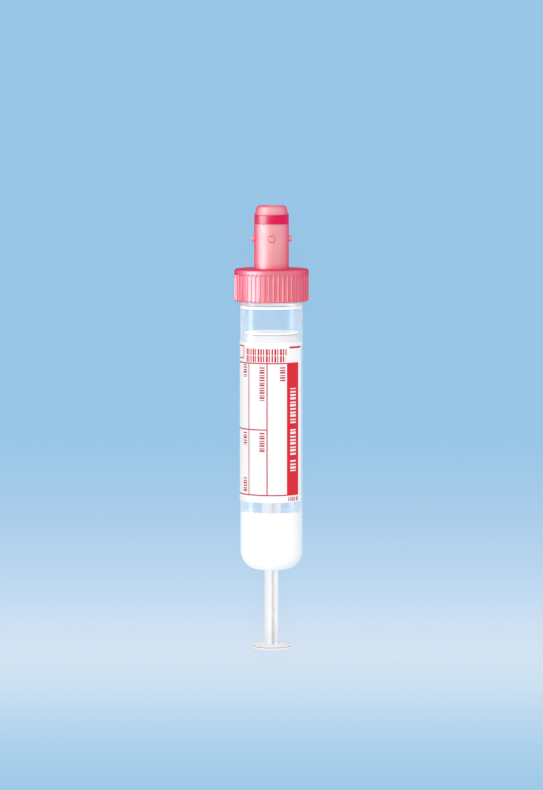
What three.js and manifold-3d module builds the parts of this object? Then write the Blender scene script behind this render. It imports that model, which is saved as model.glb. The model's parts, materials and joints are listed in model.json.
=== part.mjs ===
// A blood collection tube with a plunger, of the 5.5 ml serum size.
//
// A clear round-bottomed tube is closed by a ribbed screw cap, whose hollow stem ends in a
// membrane for the needle and has four lugs for the needle holder. A piston on a cruciform rod
// runs down the tube and draws the blood in. The rod leaves through a keyed guide in the tube's
// round end, and snaps off there once the piston has been drawn all the way.
//
// Sizes are in millimetres. The tube is drawn standing on its axis, Z, with its round end at
// height 0, its cap upwards and the middle of its label facing -Y. The last section lays it on
// its side, where it rests on the cap's ribs and on the end of its barrel.

import * as THREE from 'three';
import { mergeVertices } from 'three/addons/utils/BufferGeometryUtils.js';
import Module from 'manifold-3d';

const wasm = await Module();
wasm.setup();

const { PI, cos, sin, min } = Math;

// ---- Driving dimensions -----------------------------------------------------------------

const facets = 48; // round a revolved form
const slimFacets = 24; // round one that is no wider than the rod or the needle's way
const fitGap = 0.3; // between pieces that are pressed, clipped or screwed home
const cutterMargin = 1; // how far a cutting solid runs past what it cuts

// tube
const tubeRadius = 7.65;
const tubeWall = 0.8;
const tubeLength = 72.9;
const endRimWidth = 0.5; // flat all round the rod's hole, in the middle of the round end
const endRise = 4.9; // height of the round end
const neckStep = 0.25; // the neck is this much slimmer than the barrel
const neckLength = 7.45;
const rimChamfer = 0.2;

// screw thread, cut twice round
const threadStarts = 2;
const threadLead = 3; // rise in one turn
const threadHeight = 0.4;
const threadRootWidth = 0.7;
const threadCrestWidth = 0.35;
const threadClearance = 0.15; // from each crest to the wall it faces
const threadSteps = 30; // straight lengths in one turn
const threadRimMargin = 1.1; // from the end of the neck's ridges to the rim
const threadSkirtMargin = 0.75; // from the collar's foot to the cap's ridges
const threadSink = 0.2; // how deep a ridge is rooted in its wall
const threadFade = 0.12; // share of a ridge's length, at each end, in which it grows
const threadTip = 0.2; // share of its full height with which a ridge starts

// screw cap
const collarHeight = 7.95;
const collarWall = 1.2;
const collarTopThickness = 1.05;
const collarTopRound = 0.9;
const collarFootRound = 0.5;
const ribCount = 48;
const ribDepth = 0.35;
const ribCrestWidth = 0.34;
const ribRootWidth = 0.62;
const ribTopMargin = 1.7; // plain band above the ribs
const plugWall = 0.9; // skirt that seals in the tube's mouth
const plugDepth = 4.4;
const plugTaperWidth = 0.3; // leads the skirt into the mouth
const plugTaperHeight = 0.9;
const stemRadius = 4.25;
const stemLength = 15.5;
const stemWall = 0.95;
const stemRootFillet = 0.3;
const noseRise = 2.3;
const noseFootRadius = 4.05;
const noseTopRadius = 3.5;
const noseRound = 0.65;
const noseLip = 1.4; // thickness of the nose over the membrane
const mouthRadius = 2;

// lugs on the stem
const lugCount = 4;
const lugFacets = 16;
const lugRadius = 0.725;
const lugProud = 0.68;
const lugChamfer = 0.2;
const lugBelowNose = 8.1; // from the lug's axis to the top of the nose

// code ring
const codeRingWidth = 2.1;
const codeRingThickness = 0.4;
const codeRingGap = 0.1;

// membrane
const septumThickness = 5;
const septumDishRadius = 1.5;
const septumDishDepth = 0.5;

// guide pressed into the round end
const guideHeight = 14.6; // top edge above the tube's end
const guideWall = 0.8;
const sleeveWall = 1.35; // beyond the keyway's ends
const sleeveTop = 7.4;
const sleeveChamfer = 0.3;
const keywayClearance = 0.25;

// plunger
const pistonBelowRim = 14.2; // from the top of the seal to the tube's rim
const sealLipThickness = 0.45;
const sealRunningGap = 0.1;
const sealRound = 0.15;
const hubInset = 1.55; // from the piston's outside to the seal's hub
const hubWall = 1;
const hubDepth = 1.9;
const pistonLength = 6.35;
const pistonRunningGap = 0.4;
const pistonWall = 0.9;
const pistonCrown = 1.4; // solid thickness under the seal's hub
const pistonChamfer = 0.5;
const socketLip = 0.8;
const socketWall = 1.1;
const rodHeadRadius = 1.95;
const rodHeadLength = 1.5;
const rodStudRadius = 1.45;
const rodFlangeThickness = 0.7;
const vaneThickness = 1.15;
const vaneReach = 2.45; // from the axis to a vane's edge, inside the tube
const tailReach = 1.6; // the same on the slim tail
const tailTop = 1.65; // where the tail starts to widen
const vaneTurn = 26 * PI / 180; // the vanes' turn away from the label's middle
const breakNeckRadius = 0.95;
const breakNeckLength = 0.8;
const tailLength = 18.6; // from the round end to the thumb disc
const thumbDiscRadius = 4.95;
const thumbDiscThickness = 1;
const thumbDiscRound = 0.35;
const endHoleClearance = 0.4; // round the vanes, in the tube's end

// label
const labelThickness = 0.12;
const labelGap = 0.05;
const labelFoot = 17.2; // from the tube's round end
const labelBelowRim = 16.4;
const labelEdgeAngle = 66.4 * PI / 180; // its right-hand edge, from the label's middle
const labelWrap = 250 * PI / 180;
const labelSides = 18; // round it

// ---- Sizes that follow ------------------------------------------------------------------

const boreRadius = tubeRadius - tubeWall;
const neckRadius = tubeRadius - neckStep;
const neckFoot = tubeLength - neckLength;
const neckCrest = neckRadius + threadHeight;
const capBore = neckCrest + threadClearance;
const capCrest = neckRadius + threadClearance;
const collarRadius = capBore + collarWall;
const capDeck = tubeLength + fitGap; // underside of the cap's top, over the rim
const collarTop = capDeck + collarTopThickness;
const collarFoot = collarTop - collarHeight;
const threadPitch = threadLead / threadStarts;
const threadRise = tubeLength - threadRimMargin - collarFoot - threadSkirtMargin
  - threadPitch / 2 - threadRootWidth;
const threadTurns = threadRise / threadLead;
const threadFoot = tubeLength - threadRimMargin - threadRise - threadRootWidth / 2;
const plugRadius = boreRadius - fitGap;
const plugFoot = tubeLength - plugDepth;
const noseTop = collarTop + stemLength;
const codeRingTop = noseTop - noseRise;
const stemBore = stemRadius - stemWall;
const membraneSeat = noseTop - noseLip;
const guideRadius = boreRadius - fitGap;
const sleeveRadius = vaneReach + keywayClearance + sleeveWall;
const endHoleRadius = vaneReach + endHoleClearance;
const endFlatRadius = endHoleRadius + endRimWidth;
const sealTop = tubeLength - pistonBelowRim;
const sealFoot = sealTop - sealLipThickness;
const pistonRadius = boreRadius - pistonRunningGap;
const hubOuterRadius = pistonRadius - hubInset;
const hubInnerRadius = hubOuterRadius - hubWall;
const pistonTop = sealFoot - fitGap;
const pistonFoot = pistonTop - pistonLength;
const stroke = pistonFoot - guideHeight - fitGap;
const labelInner = tubeRadius + labelGap;
const labelTop = tubeLength - labelBelowRim;

// ---- Making solids ----------------------------------------------------------------------

/** A path through points of [radius, height], to which arcs can still be added. */
function outlineFrom(...points) {
  const path = new THREE.Path();
  path.moveTo(...points[0]);
  return through(path, ...points.slice(1));
}

function through(path, ...points) {
  for (const point of points) path.lineTo(...point);
  return path;
}

/** Turns an outline of radius and height round the Z axis. A flat, and no edge, faces down. */
function revolve(outline, sides = facets, divisions = 2) {
  const geometry = new THREE.LatheGeometry(outline.getPoints(divisions), sides);
  return geometry.rotateX(PI / 2).rotateZ(PI / sides);
}

/** Extrudes a shape in the XY plane upwards from one height to another. */
function raise(shape, foot, top, curveSegments = 12) {
  const options = { depth: top - foot, bevelEnabled: false, curveSegments };
  return new THREE.ExtrudeGeometry(shape, options).translate(0, 0, foot);
}

function solid(geometry) {
  const bare = new THREE.BufferGeometry();
  const source = geometry.index ? geometry.toNonIndexed() : geometry;
  bare.setAttribute('position', source.getAttribute('position'));
  const merged = mergeVertices(bare, 1e-4);
  return new wasm.Manifold(new wasm.Mesh({
    numProp: 3,
    vertProperties: merged.getAttribute('position').array,
    triVerts: new Uint32Array(merged.index.array),
  }));
}

function geometryOf(manifold) {
  const mesh = manifold.getMesh();
  const geometry = new THREE.BufferGeometry();
  geometry.setAttribute('position', new THREE.BufferAttribute(mesh.vertProperties, 3));
  geometry.setIndex(new THREE.BufferAttribute(mesh.triVerts, 1));
  const faceted = geometry.toNonIndexed();
  faceted.computeVertexNormals();
  return faceted;
}

/**
 * A thread's ridges. A straight bar of the ridge's section is bent round the axis and climbs as
 * it goes; its two ends fade into the wall. The wall is at wallRadius and the crest at crestRadius,
 * so the same bar serves the neck, where it stands outwards, and the cap, where it stands inwards.
 */
function threadRidges(wallRadius, crestRadius, foot) {
  const rooted = wallRadius + threadSink * Math.sign(wallRadius - crestRadius);
  const section = new THREE.Shape([
    new THREE.Vector2(-threadRootWidth / 2, rooted),
    new THREE.Vector2(threadRootWidth / 2, rooted),
    new THREE.Vector2(threadCrestWidth / 2, crestRadius),
    new THREE.Vector2(-threadCrestWidth / 2, crestRadius),
  ]);
  const steps = Math.round(threadTurns * threadSteps);
  const ridges = [];
  for (let start = 0; start < threadStarts; start += 1) {
    const bar = new THREE.ExtrudeGeometry(section, { depth: 1, steps, bevelEnabled: false });
    const places = bar.getAttribute('position');
    for (let i = 0; i < places.count; i += 1) {
      const along = places.getZ(i);
      const grown = min(1, threadTip + min(along, 1 - along) / threadFade);
      const radius = rooted + (places.getY(i) - rooted) * grown;
      const turn = along * threadTurns;
      const angle = 2 * PI * (turn + start / threadStarts);
      const height = foot + places.getX(i) + threadLead * turn;
      places.setXYZ(i, radius * cos(angle), radius * sin(angle), height);
    }
    ridges.push(solid(bar));
  }
  return wasm.Manifold.union(ridges);
}

// ---- The tube and what stays in it ------------------------------------------------------

function tubeGeometry() {
  const outline = outlineFrom([endHoleRadius, 0], [endFlatRadius, 0]);
  outline.absellipse(
    endFlatRadius, endRise, tubeRadius - endFlatRadius, endRise, -PI / 2, 0,
  );
  through(
    outline,
    [tubeRadius, neckFoot - neckStep],
    [neckRadius, neckFoot],
    [neckRadius, tubeLength - rimChamfer],
    [neckRadius - rimChamfer, tubeLength],
    [boreRadius + rimChamfer / 2, tubeLength],
    [boreRadius, tubeLength - rimChamfer],
    [boreRadius, endRise],
  );
  outline.absellipse(
    endFlatRadius, endRise, boreRadius - endFlatRadius, endRise - tubeWall, 0, -PI / 2, true,
  );
  through(outline, [endHoleRadius, tubeWall], [endHoleRadius, 0]);
  const barrel = solid(revolve(outline, facets, 3));
  return geometryOf(barrel.add(threadRidges(neckRadius, neckCrest, threadFoot)));
}

/** The cross of the rod's four vanes, from above. */
function crossShape(reach, thickness) {
  const half = thickness / 2;
  const corner = [[reach, -half], [reach, half], [half, half]];
  const points = [];
  for (let quarter = 0; quarter < 4; quarter += 1) {
    const angle = vaneTurn + quarter * PI / 2;
    for (const [x, y] of corner) {
      points.push(new THREE.Vector2(x, y).rotateAround(new THREE.Vector2(), angle));
    }
  }
  return new THREE.Shape(points);
}

/** A cup that lines the round end, with a sleeve that guides the rod by its vanes. */
function baseGuideGeometry() {
  const floor = tubeWall + fitGap;
  const innerRadius = guideRadius - guideWall;
  const keyRadius = vaneReach + keywayClearance;
  const outline = outlineFrom([0, floor], [endFlatRadius, floor]);
  outline.absellipse(
    endFlatRadius, endRise, guideRadius - endFlatRadius, endRise - floor, -PI / 2, 0,
  );
  through(outline, [guideRadius, guideHeight], [innerRadius, guideHeight], [innerRadius, endRise]);
  outline.absellipse(
    sleeveRadius, endRise, innerRadius - sleeveRadius, endRise - floor - guideWall, 0, -PI / 2, true,
  );
  through(
    outline,
    [sleeveRadius, sleeveTop - sleeveChamfer],
    [sleeveRadius - sleeveChamfer, sleeveTop],
    [0, sleeveTop],
  );
  const keyway = crossShape(keyRadius, vaneThickness + 2 * keywayClearance);
  const slot = solid(raise(keyway, floor - cutterMargin, sleeveTop + cutterMargin));
  return geometryOf(solid(revolve(outline)).subtract(slot));
}

function labelGeometry() {
  const outer = labelInner + labelThickness;
  const right = labelEdgeAngle - PI / 2;
  const left = right - labelWrap;
  const band = new THREE.Shape();
  band.absarc(0, 0, outer, left, right, false);
  band.absarc(0, 0, labelInner, right, left, true);
  return raise(band, labelFoot, labelTop, labelSides);
}

// ---- The cap ----------------------------------------------------------------------------

/** Everything outside the collar's ribs: a thick ring whose inner edge is the ribs' outline. */
function ribCutter() {
  const beyond = collarRadius + cutterMargin;
  const rootRadius = collarRadius - ribDepth;
  const crestHalf = ribCrestWidth / 2 / collarRadius;
  const rootHalf = ribRootWidth / 2 / rootRadius;
  const pitch = 2 * PI / ribCount;
  const ring = new THREE.Shape().absarc(0, 0, beyond, 0, 2 * PI, false);
  const ribs = [];
  for (let rib = 0; rib < ribCount; rib += 1) {
    const middle = (rib + 0.5) * pitch;
    for (const [radius, turn] of [
      [rootRadius, -rootHalf],
      [collarRadius, -crestHalf],
      [collarRadius, crestHalf],
      [rootRadius, rootHalf],
    ]) {
      ribs.push(new THREE.Vector2(radius * cos(middle + turn), radius * sin(middle + turn)));
    }
  }
  ring.holes.push(new THREE.Path(ribs));
  return solid(raise(ring, collarFoot - cutterMargin, collarTop - ribTopMargin));
}

/** A lug: a short peg on the stem, whose axis runs out along the given angle. */
function lug(angle) {
  const foot = stemRadius - stemWall / 2;
  const tip = stemRadius + lugProud;
  const outline = outlineFrom(
    [0, foot],
    [lugRadius, foot],
    [lugRadius, tip - lugChamfer],
    [lugRadius - lugChamfer, tip],
    [0, tip],
  );
  const peg = new THREE.LatheGeometry(outline.getPoints(), lugFacets);
  return solid(peg.rotateZ(-PI / 2).translate(0, 0, noseTop - lugBelowNose).rotateZ(angle));
}

function screwCapGeometry() {
  const ringFoot = codeRingTop - codeRingWidth;
  const grooveRadius = stemRadius - codeRingThickness - codeRingGap;
  const plugInner = plugRadius - plugWall;
  const outline = outlineFrom([capBore, collarFoot], [collarRadius - collarFootRound, collarFoot]);
  outline.quadraticCurveTo(
    collarRadius, collarFoot, collarRadius, collarFoot + collarFootRound,
  );
  outline.absarc(
    collarRadius - collarTopRound, collarTop - collarTopRound, collarTopRound, 0, PI / 2,
  );
  through(outline, [stemRadius + stemRootFillet, collarTop]);
  outline.quadraticCurveTo(
    stemRadius, collarTop, stemRadius, collarTop + stemRootFillet,
  );
  const noseFoot = new THREE.Vector2(noseFootRadius, codeRingTop + codeRingGap);
  const noseEdge = new THREE.Vector2(noseTopRadius, noseTop);
  const roundStart = noseEdge.clone().lerp(noseFoot, noseRound / noseEdge.distanceTo(noseFoot));
  through(
    outline,
    [stemRadius, ringFoot - codeRingGap],
    [grooveRadius, ringFoot - codeRingGap],
    [grooveRadius, noseFoot.y],
    noseFoot.toArray(),
    roundStart.toArray(),
  );
  outline.quadraticCurveTo(noseTopRadius, noseTop, noseTopRadius - noseRound, noseTop);
  through(
    outline,
    [mouthRadius, noseTop],
    [mouthRadius, membraneSeat],
    [stemBore, membraneSeat],
    [stemBore, capDeck],
    [plugInner, capDeck],
    [plugInner, plugFoot],
    [plugRadius - plugTaperWidth, plugFoot],
    [plugRadius, plugFoot + plugTaperHeight],
    [plugRadius, capDeck],
    [capBore, capDeck],
    [capBore, collarFoot],
  );
  let cap = solid(revolve(outline)).subtract(ribCutter());
  cap = cap.add(threadRidges(capBore, capCrest, threadFoot - threadPitch / 2));
  for (let i = 0; i < lugCount; i += 1) cap = cap.add(lug(i * 2 * PI / lugCount));
  return geometryOf(cap);
}

function codeRingGeometry() {
  const foot = codeRingTop - codeRingWidth;
  const inner = stemRadius - codeRingThickness;
  return revolve(outlineFrom(
    [inner, foot],
    [stemRadius, foot],
    [stemRadius, codeRingTop],
    [inner, codeRingTop],
    [inner, foot],
  ));
}

/** A rubber plug pressed up against the nose, dished where the needle goes in. */
function septumGeometry() {
  const radius = stemBore - fitGap;
  const top = membraneSeat - fitGap;
  const foot = top - septumThickness;
  const outline = outlineFrom([0, foot + septumDishDepth]);
  outline.quadraticCurveTo(septumDishRadius / 2, foot + septumDishDepth, septumDishRadius, foot);
  through(outline, [radius, foot], [radius, top], [septumDishRadius, top]);
  outline.quadraticCurveTo(septumDishRadius / 2, top - septumDishDepth, 0, top - septumDishDepth);
  return revolve(outline, slimFacets);
}

// ---- The plunger ------------------------------------------------------------------------

/** A lip that wipes the tube's wall, on a hub that is pressed into the piston. */
function pistonSealGeometry() {
  const radius = boreRadius - sealRunningGap;
  const outline = outlineFrom(
    [0, sealFoot],
    [hubInnerRadius, sealFoot],
    [hubInnerRadius, sealFoot - hubDepth],
    [hubOuterRadius, sealFoot - hubDepth],
    [hubOuterRadius, sealFoot],
    [pistonRadius, sealFoot],
    [radius, sealFoot + sealRound],
  );
  through(outline, [radius, sealTop - sealRound]);
  outline.quadraticCurveTo(radius, sealTop, radius - sealRound, sealTop);
  through(outline, [0, sealTop]);
  return revolve(outline);
}

/** A shell with a groove for the seal's hub on top, and a boss with the rod's socket inside. */
function pistonGeometry() {
  const grooveFloor = sealFoot - hubDepth - fitGap;
  const cavityTop = grooveFloor - pistonCrown;
  const socketRadius = rodHeadRadius + fitGap;
  const socketMouth = rodStudRadius + fitGap;
  const socketTop = pistonFoot + socketLip + rodHeadLength + 2 * fitGap;
  const bossRadius = socketRadius + socketWall;
  return revolve(outlineFrom(
    [0, socketTop],
    [socketRadius, socketTop],
    [socketRadius, pistonFoot + socketLip],
    [socketMouth, pistonFoot + socketLip],
    [socketMouth, pistonFoot],
    [bossRadius, pistonFoot],
    [bossRadius, cavityTop],
    [pistonRadius - pistonWall, cavityTop],
    [pistonRadius - pistonWall, pistonFoot],
    [pistonRadius - pistonChamfer, pistonFoot],
    [pistonRadius, pistonFoot + pistonChamfer],
    [pistonRadius, pistonTop],
    [hubOuterRadius + fitGap, pistonTop],
    [hubOuterRadius + fitGap, grooveFloor],
    [hubInnerRadius - fitGap, grooveFloor],
    [hubInnerRadius - fitGap, pistonTop],
    [0, pistonTop],
  ));
}

/** Four vanes from the thumb disc to the piston, slim outside the tube, with a neck to snap. */
function pistonRodGeometry() {
  const discTop = -tailLength;
  const discFoot = discTop - thumbDiscThickness;
  const flangeTop = pistonFoot - fitGap;
  const flangeFoot = flangeTop - rodFlangeThickness;
  const headFoot = pistonFoot + socketLip + fitGap;
  const neckMiddle = stroke - breakNeckLength; // just outside the tube when it is drawn
  const widened = tailTop + vaneReach - tailReach;
  const notch = vaneReach - breakNeckRadius;

  // how far the vanes reach from the axis, all along the rod
  const reach = revolve(outlineFrom(
    [0, discFoot + thumbDiscThickness / 2],
    [tailReach, discFoot + thumbDiscThickness / 2],
    [tailReach, tailTop],
    [vaneReach, widened],
    [vaneReach, neckMiddle - breakNeckLength / 2 - notch / 2],
    [breakNeckRadius, neckMiddle - breakNeckLength / 2],
    [breakNeckRadius, neckMiddle + breakNeckLength / 2],
    [vaneReach, neckMiddle + breakNeckLength / 2 + notch / 2],
    [vaneReach, flangeFoot + rodFlangeThickness / 2],
    [0, flangeFoot + rodFlangeThickness / 2],
  ), slimFacets);
  const cross = crossShape(vaneReach + cutterMargin, vaneThickness);
  const vanes = solid(raise(cross, discFoot, flangeTop));

  const disc = outlineFrom([0, discFoot], [thumbDiscRadius - thumbDiscRound, discFoot]);
  disc.quadraticCurveTo(
    thumbDiscRadius, discFoot, thumbDiscRadius, discFoot + thumbDiscRound,
  );
  through(disc, [thumbDiscRadius, discTop - thumbDiscRound]);
  disc.quadraticCurveTo(
    thumbDiscRadius, discTop, thumbDiscRadius - thumbDiscRound, discTop,
  );
  through(disc, [0, discTop]);

  const head = outlineFrom(
    [0, flangeFoot],
    [vaneReach, flangeFoot],
    [vaneReach, flangeTop],
    [rodStudRadius, flangeTop],
    [rodStudRadius, headFoot],
    [rodHeadRadius, headFoot],
    [rodHeadRadius, headFoot + rodHeadLength / 2],
    [rodStudRadius, headFoot + rodHeadLength],
    [0, headFoot + rodHeadLength],
  );
  const rod = vanes.intersect(solid(reach)).add(solid(revolve(disc)));
  return geometryOf(rod.add(solid(revolve(head, slimFacets))));
}

// ---- Materials and pieces ---------------------------------------------------------------

function finish(color, roughness, opacity = 1) {
  const transparent = opacity < 1;
  return new THREE.MeshStandardMaterial({ color, roughness, metalness: 0, opacity, transparent });
}

function piece(name, geometry, material) {
  const mesh = new THREE.Mesh(geometry, material);
  mesh.name = name;
  return mesh;
}

const body = new THREE.Group();
body.add(
  piece('tube', tubeGeometry(), finish('#cfe5f5', 0.12, 0.35)),
  piece('base_guide', baseGuideGeometry(), finish('#f2f6fa', 0.4, 0.85)),
  piece('label', labelGeometry(), finish('#fdfdfd', 0.6)),
);

const cap = new THREE.Group();
cap.add(
  piece('screw_cap', screwCapGeometry(), finish('#ec7c8c', 0.35, 0.92)),
  piece('code_ring', codeRingGeometry(), finish('#df2f63', 0.35)),
  piece('septum', septumGeometry(), finish('#c9a48c', 0.75)),
);

const plunger = new THREE.Group();
plunger.add(
  piece('piston_seal', pistonSealGeometry(), finish('#fbfbfb', 0.55)),
  piece('piston', pistonGeometry(), finish('#f7f7f7', 0.4)),
  piece('piston_rod', pistonRodGeometry(), finish('#f0eff2', 0.35)),
);

const standing = new THREE.Group();
standing.add(body, cap, plunger);

// ---- At rest ----------------------------------------------------------------------------

// The tube lies along X with its cap towards +X and its label up. The collar is wider than the
// barrel, so the axis climbs towards the cap until ribs and barrel both touch the ground.
const collarRest = collarRadius * cos(PI / ribCount);
const barrelRest = tubeRadius * cos(PI / facets);
const restSpan = collarFoot + collarFootRound - endRise;
const climb = Math.atan2(collarRest - barrelRest, restSpan);

const lying = new THREE.Group();
lying.add(standing);
standing.setRotationFromMatrix(new THREE.Matrix4().makeBasis(
  new THREE.Vector3(0, -1, 0),
  new THREE.Vector3(sin(climb), 0, -cos(climb)),
  new THREE.Vector3(cos(climb), 0, sin(climb)),
));

// The origin is on the ground, under the middle of the whole.
const bounds = new THREE.Box3().setFromObject(lying, true);
const middle = bounds.getCenter(new THREE.Vector3());
standing.position.set(-middle.x, -middle.y, -bounds.min.z);

export default lying;
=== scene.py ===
# %% [markdown]
# # A blood collection tube
#
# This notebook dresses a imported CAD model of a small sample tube: a clear barrel with a pink
# screw cap, a paper label, and a white piston on a rod that leaves through the round end.
# The CAD model fixes every size and place. Here each piece gets the fine surface and the
# finish that the moulded one has.

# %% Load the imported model
import json
import math

import bmesh
import bpy
from mathutils import Matrix, Vector


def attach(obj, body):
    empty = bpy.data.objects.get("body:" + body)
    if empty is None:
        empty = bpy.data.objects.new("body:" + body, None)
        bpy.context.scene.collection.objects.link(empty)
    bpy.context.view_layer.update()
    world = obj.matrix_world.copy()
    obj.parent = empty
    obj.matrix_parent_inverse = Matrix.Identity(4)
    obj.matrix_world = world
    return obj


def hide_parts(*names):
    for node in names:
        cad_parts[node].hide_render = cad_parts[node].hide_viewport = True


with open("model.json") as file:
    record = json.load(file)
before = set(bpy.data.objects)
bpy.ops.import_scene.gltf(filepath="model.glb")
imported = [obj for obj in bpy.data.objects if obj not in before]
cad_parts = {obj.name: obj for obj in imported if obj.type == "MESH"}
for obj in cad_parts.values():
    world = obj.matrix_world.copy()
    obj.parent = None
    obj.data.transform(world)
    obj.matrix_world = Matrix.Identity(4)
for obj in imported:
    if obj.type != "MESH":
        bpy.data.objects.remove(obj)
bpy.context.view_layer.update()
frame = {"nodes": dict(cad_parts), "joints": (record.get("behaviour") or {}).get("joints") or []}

scene = bpy.context.scene
print("nodes:", sorted(frame["nodes"]))

# %% [markdown]
# ## The tube's own frame
#
# The tube lies on a table, and its wide collar lifts the cap's end a little. Turned parts are
# easiest to draw upright, so this lesson draws in millimetres with the axis upright, height 0
# at the round end and the middle of the label towards -Y. One matrix then lays each finished
# mesh where the CAD model has it. The axis comes from the hinge that the cap turns on.

# %% Find the tube's axis
MM = 0.001
joints = {joint["name"]: joint for joint in frame["joints"]}
axis = Vector(joints["cap_turn"]["axis"]).normalized()
on_axis = Vector(joints["cap_turn"]["pos_m"])
lowest = min(vertex.co.dot(axis) for vertex in frame["nodes"]["tube"].data.vertices)
foot_point = on_axis + axis * (lowest - on_axis.dot(axis))
across = Vector((0, -1, 0))
back = axis.cross(across)

lay_down = Matrix((across, back, axis)).transposed().to_4x4() @ Matrix.Scale(MM, 4)
lay_down.translation = foot_point
stand_up = lay_down.inverted()


def measure(node, high=1000.0, beyond=-1.0):
    """Foot, top and largest radius of a CAD node, below a height and beyond a radius, in mm."""
    points = [stand_up @ vertex.co for vertex in frame["nodes"][node].data.vertices]
    points = [point for point in points if point.z < high and point.xy.length > beyond]
    heights = [point.z for point in points]
    return min(heights), max(heights), max(point.xy.length for point in points)


tube_foot, tube_rim, _ = measure("tube")
barrel_radius = measure("tube", high=tube_rim / 2)[2]
collar_foot, nose_top, collar_radius = measure("screw_cap")
ring_foot, ring_top, stem_radius = measure("code_ring")
collar_top = measure("screw_cap", beyond=stem_radius + 1)[1]
septum_foot, septum_top, septum_radius = measure("septum")
guide_foot, guide_top, guide_radius = measure("base_guide")
label_foot, label_top, label_radius = measure("label")
seal_top = measure("piston_seal")[1]
piston_foot, _, piston_radius = measure("piston")
disc_foot, _, disc_radius = measure("piston_rod")
print(f"barrel {2 * barrel_radius:.2f} by {tube_rim - tube_foot:.1f} mm, cap to {nose_top:.1f} mm")

# %% [markdown]
# ## Camera
#
# The tube is shown upright, yet it can't stand by itself. So the camera hangs above the table
# with the cap at the top of its picture, and leans a little towards the cap's end. A long lens
# keeps the barrel's sides parallel.

# %% Camera
CAMERA_DISTANCE = 0.985
CAMERA_LEAN = math.radians(5.0)
CAMERA_LENS = 182.3  # millimetres, on a 36 mm sensor along the picture's height
AIM_HEIGHT = 43.1  # millimetres up the tube

aim = lay_down @ Vector((0, 0, AIM_HEIGHT))
sight = -back * math.cos(CAMERA_LEAN) + axis * math.sin(CAMERA_LEAN)
camera_data = bpy.data.cameras.new("camera")
camera_data.lens = CAMERA_LENS
camera_data.sensor_width = 36
camera_data.clip_start = 0.05
camera_data.clip_end = 20
camera = bpy.data.objects.new("camera", camera_data)
scene.collection.objects.link(camera)
picture_right = axis.cross(sight).normalized()
picture_up = sight.cross(picture_right)
camera.matrix_world = Matrix((picture_right, picture_up, sight)).transposed().to_4x4()
camera.matrix_world.translation = aim + sight * CAMERA_DISTANCE
scene.camera = camera
print("camera at", [round(value, 3) for value in camera.matrix_world.translation])

# %% [markdown]
# ## Light
#
# Clear plastic and gloss show what is round them. A pale world gives even light from all
# sides, and a wide soft box hangs over the tube. Low boxes on both sides and at both ends light
# the faces that look sideways. The last boxes each light one part of the tube, as if flags kept
# them off the rest. Three draw the bright lines along cap, code ring and barrel, one brightens
# the clear wall, and one reaches the seal's face, which the cap would shade. Cap and ring are
# dyed, and gels with less red in them keep their bright lines from turning orange.

# %% Helpers for nodes
def add_node(tree, kind, **settings):
    """Adds a node of that type and sets its properties."""
    node = tree.nodes.new(kind)
    for name, value in settings.items():
        setattr(node, name, value)
    return node


def join(tree, value, socket):
    """Links a socket to another, or writes a number or colour on it."""
    if isinstance(value, bpy.types.NodeSocket):
        tree.links.new(value, socket)
    else:
        socket.default_value = value


def calculate(tree, operation, *terms):
    """One step of arithmetic, in a material or in Geometry Nodes."""
    node = add_node(tree, "ShaderNodeMath", operation=operation)
    for socket, term in zip(node.inputs, terms):
        join(tree, term, socket)
    return node.outputs[0]


def soft_step(tree, value, low, high, start=0.0, end=1.0):
    """Goes smoothly from start to end while value goes from low to high."""
    node = add_node(tree, "ShaderNodeMapRange", interpolation_type="SMOOTHSTEP")
    for socket, term in zip(node.inputs, (value, low, high, start, end)):
        join(tree, term, socket)
    return node.outputs[0]


# %% World
WORLD_LIGHT = 0.6
SKY_BLUE = (0.62, 0.76, 0.89, 1)

world = bpy.data.worlds.new("studio")
scene.world = world
world.use_nodes = True
sky = world.node_tree
sky.nodes.clear()
rays = add_node(sky, "ShaderNodeLightPath")
lit = add_node(sky, "ShaderNodeBackground")
lit.inputs["Color"].default_value = (1, 1, 1, 1)
lit.inputs["Strength"].default_value = WORLD_LIGHT
mirrored = add_node(sky, "ShaderNodeBackground")
mirrored.inputs["Color"].default_value = SKY_BLUE
mirrored.inputs["Strength"].default_value = WORLD_LIGHT
seen = add_node(sky, "ShaderNodeBackground")
seen.inputs["Color"].default_value = SKY_BLUE
backdrop = lit.outputs[0]
for kind, look in (("Is Glossy Ray", mirrored), ("Is Camera Ray", seen)):
    pick = add_node(sky, "ShaderNodeMixShader")
    join(sky, rays.outputs[kind], pick.inputs[0])
    join(sky, backdrop, pick.inputs[1])
    join(sky, look.outputs[0], pick.inputs[2])
    backdrop = pick.outputs[0]
join(sky, backdrop, add_node(sky, "ShaderNodeOutputWorld").inputs["Surface"])
print("world:", world.name, "at", WORLD_LIGHT)


# %% Lamps
def soft_box(name, turn, tilt, distance, width, length, radiance, only_glossy=False, gel=(1, 1, 1)):
    """A lamp in a direction: turned round the tube from above it, then tilted to its cap's end.

    turn and tilt are degrees, and distance, width and length are metres.
    """
    turn, tilt = math.radians(turn), math.radians(tilt)
    data = bpy.data.lights.new(name, "AREA")
    data.shape = "RECTANGLE"
    data.size = width
    data.size_y = length
    data.energy = radiance * math.pi * width * length
    data.color = gel
    lamp = bpy.data.objects.new(name, data)
    scene.collection.objects.link(lamp)
    away = (-back * math.cos(turn) + across * math.sin(turn)) * math.cos(tilt) + axis * math.sin(tilt)
    side = axis.cross(away).normalized()
    lamp.matrix_world = Matrix((side, away.cross(side), away)).transposed().to_4x4()
    lamp.matrix_world.translation = aim + away * distance
    lamp.visible_camera = False
    lamp.visible_diffuse = not only_glossy
    return lamp


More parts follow.
